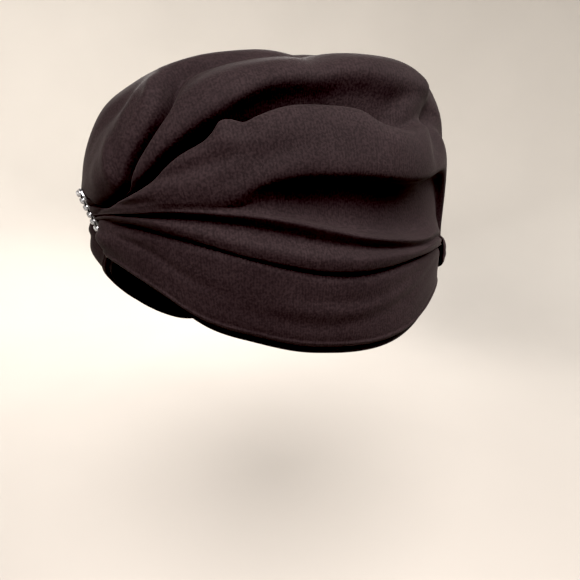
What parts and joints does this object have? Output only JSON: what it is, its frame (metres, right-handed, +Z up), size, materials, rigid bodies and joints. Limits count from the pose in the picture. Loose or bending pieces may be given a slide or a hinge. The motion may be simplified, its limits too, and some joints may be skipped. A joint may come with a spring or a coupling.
{
  "type": "turban headwrap",
  "caption": "Gathered black crepe turban with soft fanned folds, a jewelled bar clasp at the front and a cloth keeper at the back.",
  "frame": {"origin": "inner top of the crown, where the wrap sits on the head", "axes": "+Z up along the head, -Y towards the face and the clasp, +X to the wearer's left"},
  "size_m": [0.1976, 0.2485, 0.1805],
  "materials": {
    "black_crepe": "matt black double-knit crepe with a fine vertical rib",
    "hem_band": "matt black elastic band cloth",
    "silver_setting": "bright silver-tone metal, slightly worn",
    "rhinestone": "clear faceted glass"
  },
  "bodies": {
    "root": {"crown_drape": "black_crepe", "side_drape_left": "black_crepe", "side_drape_right": "black_crepe", "hem_band": "hem_band", "back_keeper": "black_crepe", "clasp_setting": "silver_setting", "clasp_pin": "silver_setting", "stone_right_1": "rhinestone", "stone_middle_1": "rhinestone", "stone_left_1": "rhinestone", "stone_right_2": "rhinestone", "stone_middle_2": "rhinestone", "stone_left_2": "rhinestone", "stone_right_3": "rhinestone", "stone_middle_3": "rhinestone", "stone_left_3": "rhinestone", "stone_right_4": "rhinestone", "stone_middle_4": "rhinestone", "stone_left_4": "rhinestone", "stone_right_5": "rhinestone", "stone_middle_5": "rhinestone", "stone_left_5": "rhinestone", "stone_right_6": "rhinestone", "stone_middle_6": "rhinestone", "stone_left_6": "rhinestone", "stone_right_7": "rhinestone", "stone_middle_7": "rhinestone", "stone_left_7": "rhinestone"}
  },
  "joints": []
}
